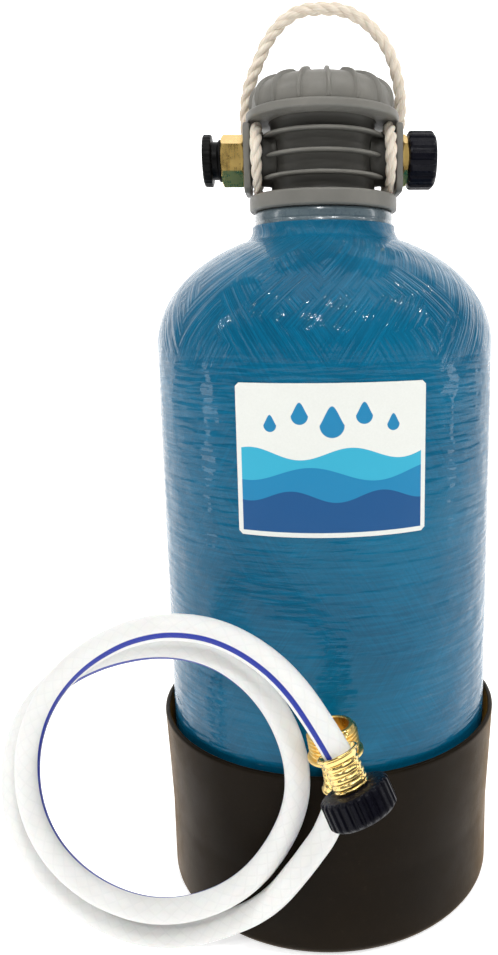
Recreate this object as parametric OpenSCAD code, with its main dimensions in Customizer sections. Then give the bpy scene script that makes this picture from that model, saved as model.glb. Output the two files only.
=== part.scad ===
// Portable resin-tank water filter: a wound tank in a rubber boot, an in-out
// head with a rope handle and two brass ports, and a short two-ended hose.
// Millimetres, +Z up, origin on the floor at the centre of the boot.
// The front, where the label is, faces -Y.

/* [Tank] */
// Outside diameter of the wound tank
tank_d = 208; // [206:0.5:209]
// Height of the neck's top face above the floor
neck_top = 430; // [426:1:434]
// Height of the top dome, from where the straight wall ends
top_dome = 71; // [66:1:74]
// Height of the bottom dome
bottom_dome = 66; // [60:1:70]
// Outside diameter of the threaded collar in the neck
collar_d = 85; // [84:0.5:86]

/* [Boot] */
// Height of the boot
boot_h = 116; // [110:1:120]
// Outside diameter of the boot, low down
boot_d = 215; // [214.5:0.5:217]
// Outside diameter of the boot at its flared rim
boot_rim_d = 220.4; // [219:0.1:222]
// Wall thickness of the boot
boot_wall = 3; // [2:0.5:3]

/* [Head] */
// Diameter of the flange that sits on the tank
seat_flange_d = 90; // [88:1:92]
// Diameter of the flange under the grip
grip_flange_d = 92; // [90:1:92]
// Height of the ribbed grip above its flange
grip_h = 22; // [20:1:26]
// Number of ribs on the grip
grip_ribs = 16; // [14:1:20]
// Diameter of the three fins round the waist
fin_d = 75; // [70:1:76]
// Height of the ports' axis above the neck's top face
port_rise = 31; // [30.5:0.5:31.5]
// Distance from the head's axis to the face of each port
port_reach = 47.4; // [46:0.2:48]

/* [Fittings] */
// Across flats of the brass hexagons
hex_af = 26.4; // [26:0.2:28]
// Outside diameter of the inlet's swivel nut
inlet_nut_d = 34; // [33:0.5:36]
// Ribs on the inlet's swivel nut
inlet_nut_ribs = 14; // [10:1:18]

/* [Hose] */
// Outside diameter of the hose
hose_d = 14; // [13:0.5:14]
// Outside diameter of the hose's swivel nut
hose_nut_d = 35; // [34:0.5:37]
// Ribs on the hose's swivel nut
hose_nut_ribs = 26; // [20:1:30]

/* [Hidden] */
$fn = 64;
eps = 0.01;
gap = 0.3; // between pieces that move past each other
snug = 0.1; // between pieces that are fixed together

// Tank shell: each layer is the same outline moved inwards
tank_r = tank_d / 2;
tank_floor = 5; // lowest point of the tank above the floor
winding_t = 3;
liner_t = 2.8;
liner_out = winding_t + 0.2;
bed_out = liner_out + liner_t + 0.2;
low_z = tank_floor + bottom_dome; // the straight wall starts here
high_z = neck_top - 9 - top_dome; // and ends here
resin_top = 300;
collar_r = collar_d / 2;
thread_hole_r = 36; // 2-1/2 inch tank thread
thread_r = 35.5;

// Riser pipe, 3/4 inch PVC
riser_r = 13.35;
riser_bore_r = 10.45;
riser_top = neck_top + 11;
basket_z = 13; // underside of the lower basket

// Heights on the head
seat_z = neck_top + gap; // underside of the head's lower flange
waist_z = neck_top + 9.5; // top of that flange
grip_z = neck_top + 52; // underside of the grip's flange
grip_flange_t = 5;
grip_top_z = grip_z + grip_flange_t;
port_z = neck_top + port_rise;
spigot_len = 24;
spigot_z = neck_top - spigot_len;
chamber_r = 27;
chamber_top = grip_top_z + 15;
core_r = 31.5;
socket_r = 19;
port_bore_r = 10;
port_tube_r = 15;
npt_r = 13.2; // 3/4 inch pipe thread, female
npt_x = 33; // depth that the brass fittings reach
pad_t = 4;
pad_h = 40;
pad_w = 30;

// 3/4-11.5 garden hose thread
hose_thread_r = 13.45; // crests of the male thread
hose_hole_r = 13.6; // the clear hole of the female thread
hose_pitch = 2.2;
washer_r = 13.3;

// Rope handle
rope_r = 3.85; // the free arch
lash_r = 2.9; // the turns squeezed round the port tubes

// Hose coil: two turns standing on edge, leaning on the boot's rim.
// The coil's plane is turned about Z and leans back. In it the hose's line
// has this radius, and this distance in front of the plane, at each eighth
// of a turn anticlockwise from the nut's end.
coil_centre = [-90, -96, 99];
coil_turn = -13; // of the plane about Z, degrees
coil_lean = 1; // of the plane backwards, degrees
coil_start = 24; // degrees above the plane's own +X
coil_sweep = 720;
coil_radius = [119, 117, 99, 87, 80, 68, 60, 62, 77, 90, 91, 100, 105, 96, 81, 78, 104];
coil_front = [50, 28, 18, 16, 14, 13, 10, 7, 4, 1, 0, 0, 0, 0, 0, 14, 15];

// ---- helpers ----------------------------------------------------------

// Points along an arc of an ellipse in the profile plane
function arc(c, rx, ry, a0, a1, n = 8) =
    [for (i = [0:n]) let (a = a0 + (a1 - a0) * i / n) [c[0] + rx * cos(a), c[1] + ry * sin(a)]];

// A quarter of a superellipse, from the equator up to the pole
function squircle(r, h, z, n, power = 3.3) =
    [for (i = [0:n]) let (a = 90 * i / n) [r * pow(cos(a), 2 / power), z + h * pow(sin(a), 2 / power)]];

function unit(v) = v / norm(v);
function bow(p, t) = let (n = len(p) - 1, k = max(0, min(n, floor(t))), u = min(t, n) - k,
    a = p[max(k - 1, 0)], b = p[k], c = p[min(k + 1, n)], d = p[min(k + 2, n)])
    0.5 * (2 * b + (c - a) * u + (2 * a - 5 * b + 4 * c - d) * pow(u, 2)
        + (3 * b - a - 3 * c + d) * pow(u, 3));

// A round tube swept along points, as one closed polyhedron
module sweep(path, r, sides = 8) {
    n = len(path);
    along = [for (i = [0:n - 1]) unit(path[min(i + 1, n - 1)] - path[max(i - 1, 0)])];
    side = [for (i = 0, s = unit(cross(along[0], [0.1, 0.2, 1])); i < n;
        i = i + 1, s = i < n ? unit(s - (s * along[i]) * along[i]) : s) s];
    points = [for (i = [0:n - 1]) for (k = [0:sides - 1]) let (a = 360 * k / sides)
        path[i] + r * (cos(a) * side[i] + sin(a) * cross(along[i], side[i]))];
    skin = [for (i = [0:n - 2]) for (k = [0:sides - 1]) let (m = (k + 1) % sides)
        [i * sides + m, i * sides + k, (i + 1) * sides + k, (i + 1) * sides + m]];
    caps = [[for (k = [0:sides - 1]) k], [for (k = [sides - 1:-1:0]) (n - 1) * sides + k]];
    polyhedron(points, concat(skin, caps), convexity = 6);
}

module tube(r, bore, h) {
    difference() {
        cylinder(r = r, h = h);
        translate([0, 0, -1]) cylinder(r = bore, h = h + 2);
    }
}

module along_x(x = 0, z = 0) {
    translate([x, 0, z]) rotate([0, 90, 0]) children();
}

// ---- tank -------------------------------------------------------------

// Half outline of the tank, moved inwards by t, from the pole to the neck
function tank_side(t) = concat(
    arc([0, low_z], tank_r - t, bottom_dome - t, -90, 0, 14),
    arc([0, high_z], tank_r - t, top_dome - t, 0, 60, 14));

module boot() {
    r = boot_d / 2;
    rim = boot_rim_d / 2;
    edge = 6; // radius of the bottom edge
    flare = 50; // the wall is straight up to here
    color([0.05, 0.05, 0.05]) rotate_extrude() polygon(concat(
        [[0, 0], [r - edge, 0]], arc([r - edge, edge], edge, edge, -75, 0, 5),
        [[r, flare]], arc([rim - boot_wall / 2, boot_h - boot_wall / 2], boot_wall / 2, boot_wall / 2, 0, 180, 6),
        [[r - boot_wall, flare], [r - boot_wall, 30]],
        arc([r - boot_wall - 24, 28], 24, 24, 0, -90, 6), [[0, 4]]));
}

module tank_winding() {
    neck = [collar_r + snug, neck_top - 8]; // where the winding ends on the collar
    lip = 1.2;
    color([0.0, 0.33, 0.52]) rotate_extrude() polygon(concat(
        tank_side(0), arc([collar_r + lip + 9, neck_top - 9.5], 9, 9, 240, 180, 5),
        [[neck[0] + lip, neck[1]], neck, [neck[0], high_z + 60]],
        [for (i = [len(tank_side(winding_t)) - 1:-1:0]) tank_side(winding_t)[i]]));
}

module tank_liner() {
    inner = tank_side(liner_out + liner_t);
    hole = collar_r + 0.2;
    color([0.9, 0.9, 0.86]) rotate_extrude() polygon(concat(
        tank_side(liner_out), [[hole, high_z + 62 - liner_out], [hole, high_z + 61 - liner_out - liner_t]],
        [for (i = [len(inner) - 1:-1:0]) inner[i]]));
}

module neck_collar() {
    foot_r = 52;
    foot_z = high_z + 48;
    color([0.35, 0.37, 0.38]) difference() {
        union() {
            translate([0, 0, foot_z]) cylinder(r = collar_r, h = neck_top - foot_z);
            translate([0, 0, foot_z]) cylinder(r = foot_r, h = 3);
        }
        translate([0, 0, foot_z - 1]) cylinder(r = thread_hole_r, h = neck_top);
        translate([0, 0, neck_top - 1]) cylinder(r1 = thread_hole_r, r2 = thread_hole_r + 1.2, h = 1 + eps);
    }
}

module resin_bed() {
    well_r = 19.6;
    side = [for (p = tank_side(bed_out)) if (p[1] < resin_top) p];
    color([0.62, 0.36, 0.12]) difference() {
        rotate_extrude() polygon(concat(side, [[tank_r - bed_out, resin_top], [0, resin_top]]));
        translate([0, 0, -1]) cylinder(r = riser_r + 0.3, h = resin_top + 2);
        translate([0, 0, -1]) cylinder(r = well_r, h = basket_z + 46);
    }
}

module riser_tube() {
    foot = basket_z + 34;
    color([0.92, 0.92, 0.9]) translate([0, 0, foot]) tube(riser_r, riser_bore_r, riser_top - foot);
}

// The slotted strainer on the riser's foot
module lower_basket() {
    slots = 20;
    r = 19;
    wall = 2.4;
    color([0.85, 0.85, 0.82]) translate([0, 0, basket_z]) difference() {
        union() {
            cylinder(r1 = r - 4, r2 = r, h = 4);
            translate([0, 0, 4]) cylinder(r = r, h = 30);
            translate([0, 0, 34]) cylinder(r = riser_r + 2.2, h = 10);
        }
        translate([0, 0, 3]) cylinder(r = r - wall, h = 28);
        translate([0, 0, 30]) cylinder(r = riser_bore_r, h = 5);
        translate([0, 0, 34]) cylinder(r = riser_r + snug, h = 12);
        for (i = [0:slots - 1])
            rotate([0, 0, 360 * i / slots]) translate([r - wall - 1, -0.5, 7]) cube([wall + 3, 1, 22]);
    }
}

// A printed film on the front of the tank
module label_sheet() {
    half = 29; // degrees either side of its middle
    height = 82;
    film = 0.25;
    middle = neck_top - 136.5;
    r = tank_r + 0.05;
    color([0.93, 0.93, 0.9]) translate([0, 0, middle]) intersection() {
        translate([0, 0, -height / 2]) tube(r + film, r, height);
        rotate([0, 0, -90]) linear_extrude(height * 2, center = true)
            polygon([[0, 0], for (a = [-half, -half / 3, half / 3, half]) 1.5 * r * [cos(a), sin(a)]]);
    }
}

// ---- head -------------------------------------------------------------

// A disc with rounded edges, drawn as a profile
module rounded_disc(r, z0, z1, edge = 1.2) {
    rotate_extrude() polygon(concat([[0, z0]], arc([r - edge, z0 + edge], edge, edge, -90, 0, 4),
        arc([r - edge, z1 - edge], edge, edge, 0, 90, 4), [[0, z1]]));
}

module grip() {
    rib_w = 2.2;
    rib_rise = 1.8;
    crest_r = grip_flange_d / 2 - 1.7;
    rotate_extrude() polygon(concat([[0, grip_top_z - 1], [crest_r - rib_rise, grip_top_z - 1]],
        squircle(crest_r - rib_rise, grip_h - rib_rise, grip_top_z, 12)));
    intersection() {
        rotate_extrude() polygon(concat([[0, grip_top_z - 1], [crest_r, grip_top_z - 1]],
            squircle(crest_r, grip_h, grip_top_z, 12)));
        for (i = [0:grip_ribs - 1])
            rotate([0, 0, 360 * i / grip_ribs + 3.5])
                translate([24, -rib_w / 2, grip_top_z - 1]) cube([24, rib_w, grip_h + 3]);
    }
}

// Male tank thread, as ridges round the spigot
module spigot() {
    pitch = 3.175;
    root = thread_r - 1.3;
    ridges = floor((spigot_len - 4) / pitch);
    start = spigot_z + 1.5;
    rotate_extrude() polygon(concat([[0, spigot_z], [root - 1, spigot_z], [root, start]],
        [for (i = [0:ridges - 1]) for (p = [[0, 0], [1.3, 0.9], [1.3, 1.5], [0, 2.4]])
            [root + p[0], start + pitch * i + p[1]]],
        [[root, seat_z + 1], [0, seat_z + 1]]));
}

// One side port: a tube out of the core with a square pad on its end
module port_boss() {
    corner = 5;
    along_x(core_r - 12, port_z) cylinder(r = port_tube_r, h = port_reach - core_r + 12);
    translate([port_reach - pad_t, 0, port_z]) rotate([90, 0, 90]) linear_extrude(pad_t) {
        square([pad_w - 2 * corner, pad_h], center = true);
        square([pad_w, pad_h - 2 * corner], center = true);
        for (x = [-1, 1], y = [-1, 1])
            translate([x * (pad_w / 2 - corner), y * (pad_h / 2 - corner)]) circle(r = corner);
    }
}

// Flange and threaded spigot that screw into the tank's neck
module head_seat() {
    color([0.42, 0.44, 0.43]) difference() {
        union() {
            spigot();
            rounded_disc(seat_flange_d / 2, seat_z, waist_z, 1.6);
        }
        translate([0, 0, spigot_z - 1]) cylinder(r = chamber_r, h = spigot_len + 12);
        // groove for the seal on the tank's neck
        translate([0, 0, seat_z - 1]) tube(41.3, 37.3, 4.8);
    }
}

// Waist with its fins and the two side ports, and the riser's socket inside
module head_housing() {
    fin_t = 1.8;
    fin_step = 11.9;
    tube_top = port_z + 17;
    groove_r = 16.5;
    color([0.42, 0.44, 0.43]) difference() {
        union() {
            difference() {
                union() {
                    translate([0, 0, waist_z]) cylinder(r = core_r, h = grip_z - waist_z);
                    for (k = [1:3])
                        translate([0, 0, waist_z + fin_step * k - 2.8]) cylinder(d = fin_d, h = fin_t);
                    port_boss();
                    rotate([0, 0, 180]) port_boss();
                }
                // the chamber that the inlet feeds, open downwards round the socket
                translate([0, 0, waist_z - 1]) cylinder(r = chamber_r, h = grip_z - waist_z + 2);
            }
            translate([0, 0, spigot_z]) cylinder(r = socket_r, h = tube_top - spigot_z);
            along_x(-chamber_r - 1, port_z) cylinder(r = port_bore_r + 2.6, h = chamber_r);
        }
        // riser socket with its seal groove, and the passage up to the outlet
        translate([0, 0, spigot_z - 1]) cylinder(r = riser_r + 0.3, h = riser_top - spigot_z + 3);
        translate([0, 0, spigot_z + 10]) cylinder(r = groove_r, h = 3.2);
        translate([0, 0, riser_top]) cylinder(r = port_bore_r, h = tube_top - riser_top - 3);
        along_x(-npt_x - 1, port_z) cylinder(r = port_bore_r, h = npt_x);
        along_x(chamber_r - 2, port_z) cylinder(r = port_bore_r, h = npt_x - chamber_r + 3);
        // pipe threads of the two ports
        for (x = [npt_x, -port_reach - 1])
            along_x(x, port_z) cylinder(r = npt_r, h = port_reach - npt_x + 1);
    }
}

// Flange and ribbed grip, which close the chamber from above
module head_grip() {
    color([0.42, 0.44, 0.43]) difference() {
        union() {
            rounded_disc(grip_flange_d / 2, grip_z, grip_top_z, 1.4);
            grip();
        }
        translate([0, 0, grip_z - 1]) cylinder(r = chamber_r, h = chamber_top - grip_z + 1);
    }
}

module o_ring(r, thick, z) {
    color([0.06, 0.06, 0.06]) translate([0, 0, z]) rotate_extrude() translate([r, 0]) circle(d = thick, $fn = 24);
}

module head_o_ring() { o_ring(39.3, 3.4, seat_z + 1.9); }

module riser_o_ring() { o_ring(riser_r + gap + 1.3, 2.6, spigot_z + 11.6); }

// Strainer that keeps the resin out of the head
module upper_basket() {
    slots = 24;
    r = 25;
    h = 19;
    color([0.85, 0.85, 0.82]) translate([0, 0, spigot_z - h + 4]) difference() {
        union() {
            cylinder(r = r, h = h - 4.2);
            translate([0, 0, h - 4.2]) cylinder(r = chamber_r - snug, h = 4.2);
        }
        translate([0, 0, 2]) cylinder(r = r - 2, h = h);
        translate([0, 0, -1]) cylinder(r = riser_r + 0.4, h = 4);
        for (i = [0:slots - 1])
            rotate([0, 0, 360 * i / slots]) translate([r - 4, -0.5, 3]) cube([6, 1, 9]);
    }
}

// ---- fittings on the head ---------------------------------------------

module hex_bar(x, length) {
    along_x(x, port_z) cylinder(d = hex_af / cos(30), h = length, $fn = 6);
}

hex_short = 3.6;
nut_x = port_reach + hex_short + 0.4; // back face of the inlet's nut
nut_len = 16.5;
nut_back = 3;

module inlet_tailpiece() {
    neck_r = 10.8;
    collar_x = nut_x + nut_back + gap;
    color([0.72, 0.53, 0.2]) difference() {
        union() {
            along_x(npt_x + 0.2, port_z) cylinder(r = npt_r - snug, h = port_reach - npt_x);
            hex_bar(port_reach + 0.1, hex_short);
            along_x(port_reach, port_z) cylinder(r = neck_r, h = collar_x - port_reach + 1);
            along_x(collar_x, port_z) cylinder(r = washer_r - 0.3, h = 2);
        }
        along_x(npt_x - 1, port_z) cylinder(r = 8.5, h = collar_x + 4 - npt_x);
    }
}

// Body of a swivel nut along +Z: a ribbed cup with a hole for its stem
module swivel_nut(d, length, ribs, stem_r, seat) {
    r = d / 2;
    rib = PI * d / ribs * 0.52;
    difference() {
        union() {
            rotate_extrude() polygon([[0, 0], [r - 2, 0], [r - 1.1, 0.9], [r - 1.1, length - 1.5],
                [r - 2.6, length], [0, length]]);
            intersection() {
                rotate_extrude() polygon([[0, 0], [r - 1.4, 0], [r, 1.6], [r, length - 2.4],
                    [r - 1.6, length - 0.6], [0, length - 0.6]]);
                for (i = [0:ribs - 1])
                    rotate([0, 0, 360 * i / ribs]) translate([r / 2, -rib / 2, 0]) cube([r, rib, length]);
            }
        }
        translate([0, 0, -1]) cylinder(r = stem_r + gap, h = length);
        translate([0, 0, nut_back]) cylinder(r = hose_hole_r + 0.3, h = seat - nut_back);
        translate([0, 0, seat - eps]) cylinder(r = hose_hole_r, h = length);
        translate([0, 0, length - 0.8]) cylinder(r1 = hose_hole_r, r2 = hose_hole_r + 0.9, h = 0.8 + eps);
    }
}

washer_seat = 8.2; // from a nut's back face to the end of its washer's seat

module inlet_swivel_nut() {
    color([0.05, 0.05, 0.07]) along_x(nut_x, port_z)
        swivel_nut(inlet_nut_d, nut_len, inlet_nut_ribs, 10.8, washer_seat);
}

module inlet_washer() {
    color([0.12, 0.12, 0.12]) along_x(nut_x + nut_back + gap + 2.1, port_z) tube(washer_r, 8.4, 2.6);
}

// Wire strainer disc in the washer's hole
module inlet_screen() {
    color([0.7, 0.7, 0.7]) along_x(nut_x + nut_back + gap + 3, port_z) cylinder(r = 8.3, h = 0.5);
}

outlet_hex = 13.4;
outlet_face = port_reach + 0.1 + outlet_hex; // distance of the outlet's face from the axis
outlet_hole_r = 10.6; // 1/2 inch pipe thread, female
plug_seat = 3.4; // depth of the plain mouth that the plug sits in

module outlet_adapter() {
    color([0.72, 0.53, 0.2]) mirror([1, 0, 0]) difference() {
        union() {
            along_x(npt_x + 0.2, port_z) cylinder(r = npt_r - snug, h = port_reach - npt_x);
            hex_bar(port_reach + 0.1, outlet_hex);
        }
        along_x(npt_x - 1, port_z) cylinder(r = 9.6, h = outlet_face - npt_x);
        along_x(outlet_face - plug_seat - 9, port_z) cylinder(r = outlet_hole_r, h = 12);
        along_x(outlet_face - plug_seat, port_z) cylinder(r = outlet_hole_r + 0.6, h = plug_seat + 1);
    }
}

// Moulded plug with a pull flange, pushed into the outlet's mouth
module outlet_plug() {
    flange_r = 15;
    color([0.03, 0.03, 0.03]) translate([-outlet_face, 0, port_z]) rotate([0, -90, 0]) rotate_extrude()
        polygon([[0, -3], [outlet_hole_r + 0.1, -3], [outlet_hole_r + 0.3, gap], [12.1, gap], [12.1, 1.6],
            [10.9, 2.2], [10.9, 5.8], [flange_r - 0.8, 5.8], [flange_r, 6.6], [flange_r, 10], [flange_r - 1, 11],
            [6, 11], [5, 9], [0, 9]]);
}

// ---- rope handle ------------------------------------------------------

// From the knot at the back, over the port tube, round it and up to the arch
lash_points = [[8, 41.5, 33], [20, 37.5, 36], [30, 29, 41], [37, 17.5, 46.5], [39.6, 8, 49],
    [39.6, 0, 49], [39.6, -8, 48.6], [39.6, -14.5, 44], [39.6, -18.8, 38], [39.6, -19.6, 31],
    [39.6, -18.8, 24], [39.6, -14.5, 17.5], [39.6, -8, 13.4], [39.6, 0, 12.8], [39.6, 8, 13.4],
    [39.8, 15, 18], [40.6, 20, 26], [42, 21.5, 34], [45, 21, 42.4]];
arch_points = [[46, 20.5, 47], [49, 19.8, 57], [49.3, 17.5, 66], [48.5, 14.5, 74], [46.5, 12, 82],
    [43.5, 10, 91], [37.5, 8, 101], [27, 6.5, 111], [14, 5.5, 117], [0, 5, 118], [-13, 5.5, 116.5],
    [-23.5, 6.5, 110.5], [-32, 8, 101], [-37.5, 10, 91], [-42, 12, 82], [-45.2, 14.8, 74],
    [-46.8, 17.6, 66], [-47.4, 20, 57], [-46, 20.5, 47]];

module rope_lashing() {
    line = [for (p = lash_points) p + [0, 0, neck_top]];
    color([0.88, 0.84, 0.76]) {
        sweep(line, lash_r);
        mirror([1, 0, 0]) sweep(line, lash_r);
    }
}

module rope_knot() {
    color([0.88, 0.84, 0.76]) translate([-8, 45.4, neck_top + 33]) rotate([0, 90, 0]) rotate_extrude()
        polygon(concat([[0, 0]], arc([0, 8], 7.5, 8, -90, 90, 8)));
}

module rope_arch() {
    color([0.88, 0.84, 0.76]) sweep([for (p = arch_points) p + [0, 0, neck_top]], rope_r);
}

// ---- hose -------------------------------------------------------------

// A point of the coil's plane: angle a, radius r and distance f in front
function coil_point(a, r, f) = let (x = r * cos(a), y = -f, z = r * sin(a),
    y2 = y * cos(coil_lean) + z * sin(coil_lean), z2 = z * cos(coil_lean) - y * sin(coil_lean))
    coil_centre + [x * cos(coil_turn) - y2 * sin(coil_turn), x * sin(coil_turn) + y2 * cos(coil_turn), z2];

// A point of the hose's line, a degrees of turn after its start
function coil_line(a) = coil_point(coil_start + a, bow(coil_radius, a / 45), bow(coil_front, a / 45));

// Each end of the hose: where it is and the way it points
nut_end = coil_line(0);
nut_way = unit(nut_end - coil_line(5));
free_end = coil_line(coil_sweep);
free_way = unit(free_end - coil_line(coil_sweep - 5));
hose_line = concat([nut_end - 0.7 * nut_way, nut_end - 17 * nut_way],
    [for (i = [2:58]) coil_line(coil_sweep * i / 60)], [free_end - 17 * free_way, free_end - 0.7 * free_way]);

// Puts children that are drawn along +Z at a place, pointing a given way
module face(place, way) {
    translate(place) rotate([0, acos(way[2]), atan2(way[1], way[0])]) children();
}

ferrule_r = 8.9;
ferrule_len = 17;
bell_r = 10.6; // the sleeve's flared mouth
stem_bore_r = 3.8;

module hose_tube() {
    color([0.93, 0.93, 0.92]) sweep(hose_line, hose_d / 2, 12);
}

// Crimped brass sleeve over the hose's end, along +Z
module ferrule() {
    rings = 4;
    bell = 4.2; // length of the flared mouth
    step = (ferrule_len - bell - 0.4) / rings;
    color([0.75, 0.6, 0.25]) rotate_extrude() polygon(concat(
        [[hose_d / 2 + snug, -ferrule_len + 3], [bell_r - 1.6, -ferrule_len + 0.9]],
        arc([bell_r - 0.7, -ferrule_len + 0.7], 0.7, 0.7, -135, 60, 5),
        [[ferrule_r + 1.1, -ferrule_len + 2.6], [ferrule_r + 0.3, -ferrule_len + bell]],
        [for (i = [0:rings - 1]) for (p = [[-0.7, 0.2], [0, 0.8], [0, 2], [-0.7, 2.6]])
            [ferrule_r + p[0], -ferrule_len + bell + 0.4 + step * i + p[1]]],
        [[ferrule_r, 0.2], [ferrule_r - 1, 1.2], [stem_bore_r + 2.4, 1.2], [stem_bore_r + 2.4, 0.2],
            [hose_d / 2 + snug, 0.2]]));
}

module hose_nut_ferrule() { face(nut_end, nut_way) ferrule(); }

module hose_end_ferrule() { face(free_end, free_way) ferrule(); }

hose_nut_len = 14.5;
hose_nut_gap = 1.6; // from the ferrule's seat to the nut's back face

module hose_nut_stem() {
    neck_r = stem_bore_r + 2.3;
    collar = hose_nut_gap + nut_back + gap;
    color([0.72, 0.53, 0.2]) face(nut_end, nut_way) difference() {
        union() {
            translate([0, 0, 0.1]) cylinder(r = neck_r, h = collar + 1);
            translate([0, 0, collar]) cylinder(r = washer_r - 0.3, h = 1.8);
        }
        translate([0, 0, -1]) cylinder(r = stem_bore_r, h = collar + 5);
    }
}

module hose_swivel_nut() {
    color([0.05, 0.05, 0.05]) face(nut_end + hose_nut_gap * nut_way, nut_way)
        swivel_nut(hose_nut_d, hose_nut_len, hose_nut_ribs, stem_bore_r + 2.3, washer_seat - 0.2);
}

module hose_washer() {
    color([0.1, 0.1, 0.1]) face(nut_end + (hose_nut_gap + nut_back + gap + 1.9) * nut_way, nut_way)
        tube(washer_r, 5.5, 2.6);
}

// Brass male hose thread on the hose's other end
module hose_end_coupling() {
    shoulder = 3;
    turns = 5;
    root = hose_thread_r - 1.1;
    color([0.72, 0.53, 0.2]) face(free_end, free_way) rotate_extrude() polygon(concat(
        [[stem_bore_r, 0.1], [stem_bore_r + 2.3, 0.1], [stem_bore_r + 2.3, 1.4], [hose_thread_r + 0.8, 1.4],
            [hose_thread_r + 1.4, 2], [hose_thread_r + 1.4, shoulder + 0.6], [root, shoulder + 1.2]],
        [for (i = [0:turns - 1]) for (p = [[0, 0], [1.1, 0.6], [1.1, 1.3], [0, 1.9]])
            [root + p[0], shoulder + 1.8 + hose_pitch * i + p[1]]],
        [[root, shoulder + 3 + hose_pitch * turns], [root - 0.8, shoulder + 3.8 + hose_pitch * turns],
            [9.6, shoulder + 3.8 + hose_pitch * turns], [9.6, shoulder + 2], [stem_bore_r, shoulder - 1]]));
}

// ---- every node -------------------------------------------------------

boot();
tank_winding();
tank_liner();
neck_collar();
resin_bed();
riser_tube();
lower_basket();
label_sheet();
head_seat();
head_housing();
head_grip();
head_o_ring();
riser_o_ring();
upper_basket();
inlet_tailpiece();
inlet_swivel_nut();
inlet_washer();
inlet_screen();
outlet_adapter();
outlet_plug();
rope_lashing();
rope_knot();
rope_arch();
hose_tube();
hose_nut_ferrule();
hose_nut_stem();
hose_swivel_nut();
hose_washer();
hose_end_ferrule();
hose_end_coupling();
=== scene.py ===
import math

import bpy
import numpy as np
from mathutils import Matrix, Vector


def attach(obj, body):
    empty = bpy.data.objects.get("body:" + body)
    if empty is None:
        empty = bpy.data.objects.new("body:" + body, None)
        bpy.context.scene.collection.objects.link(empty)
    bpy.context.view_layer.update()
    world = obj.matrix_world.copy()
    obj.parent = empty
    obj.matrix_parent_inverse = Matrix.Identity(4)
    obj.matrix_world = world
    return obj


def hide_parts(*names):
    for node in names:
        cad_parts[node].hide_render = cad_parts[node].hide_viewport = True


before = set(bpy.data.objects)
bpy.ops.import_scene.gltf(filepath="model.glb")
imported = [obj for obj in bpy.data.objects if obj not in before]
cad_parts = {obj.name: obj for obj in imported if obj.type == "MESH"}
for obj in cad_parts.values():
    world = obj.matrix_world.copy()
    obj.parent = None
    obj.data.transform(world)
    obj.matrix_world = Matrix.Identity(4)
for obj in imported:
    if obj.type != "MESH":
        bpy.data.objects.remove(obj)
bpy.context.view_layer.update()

TAU = 2 * math.pi
MM = 0.001
rng = np.random.default_rng(7)

# ---- dimensions, in millimetres, as in the CAD source -------------------

NECK = 430.0
PORT_Z = NECK + 31
TANK_R = 104.0
LOW_Z, HIGH_Z = 71.0, 350.0
ROPE_R = 3.9
HOSE_R = 6.95
BAND = 7.2  # width of the wound tape
HOSE_PITCH = 2.2  # garden hose thread
NECK_PITCH = 3.175  # tank neck thread
HEX = 26.4  # across the flats of the brass fittings
KNOT_Y = 45.4
LINE_HALF = 1.7  # half the width of the hose's blue line
LABEL_LOW, LABEL_HIGH = 252.5, 334.5
LABEL_HALF = math.radians(29)
PLUG_X = 60.9
HEX_X, INLET_X = 47.5, 51.1  # the two faces of the inlet hexagon, along its port
SEAT_TOP = NECK + 9.5
GRIP_LOW = NECK + 52
HEAD_BORE = 27.2

# the hose's coil, with its radius and its depth towards the front at each eighth of a turn
COIL_CENTRE = (-90, -96, 99)
COIL_TURN = math.radians(-13)
COIL_LEAN = math.radians(1)
COIL_START = 24
COIL_SWEEP = 720
COIL_RADIUS = [119, 117, 99, 87, 80, 68, 60, 62, 77, 90, 91, 100, 105, 96, 81, 78, 104]
COIL_FRONT = [50, 28, 18, 16, 14, 13, 10, 7, 4, 1, 0, 0, 0, 0, 0, 14, 15]

# the rope's centrelines, with heights counted from the top of the neck
LASH = [(8, 41.5, 33), (20, 37.5, 36), (30, 29, 41), (37, 17.5, 46.5), (39.6, 8, 49), (39.6, 0, 49),
        (39.6, -8, 48.6), (39.6, -14.5, 44), (39.6, -18.8, 38), (39.6, -19.6, 31), (39.6, -18.8, 24),
        (39.6, -14.5, 17.5), (39.6, -8, 13.4), (39.6, 0, 12.8), (39.6, 8, 13.4), (39.8, 15, 18),
        (40.6, 20, 26), (42, 21.5, 34), (45, 21, 42.4)]
ARCH = [(46, 20.5, 47), (49, 19.8, 57), (49.3, 17.5, 66), (48.5, 14.5, 74), (46.5, 12, 82), (43.5, 10, 91),
        (37.5, 8, 101), (27, 6.5, 111), (14, 5.5, 117), (0, 5, 118), (-13, 5.5, 116.5), (-23.5, 6.5, 110.5),
        (-32, 8, 101), (-37.5, 10, 91), (-42, 12, 82), (-45.2, 14.8, 74), (-46.8, 17.6, 66), (-47.4, 20, 57),
        (-46, 20.5, 47)]

# ---- curves -------------------------------------------------------------


def bow(p, t):
    """A smooth curve through equally spaced values, at place t."""
    n = len(p) - 1
    k = max(0, min(n, int(math.floor(t))))
    u = min(t, n) - k
    a, b, c, d = p[max(k - 1, 0)], p[k], p[min(k + 1, n)], p[min(k + 2, n)]
    return 0.5 * (2 * b + (c - a) * u + (2 * a - 5 * b + 4 * c - d) * u * u + (3 * b - a - 3 * c + d) * u**3)


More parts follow.
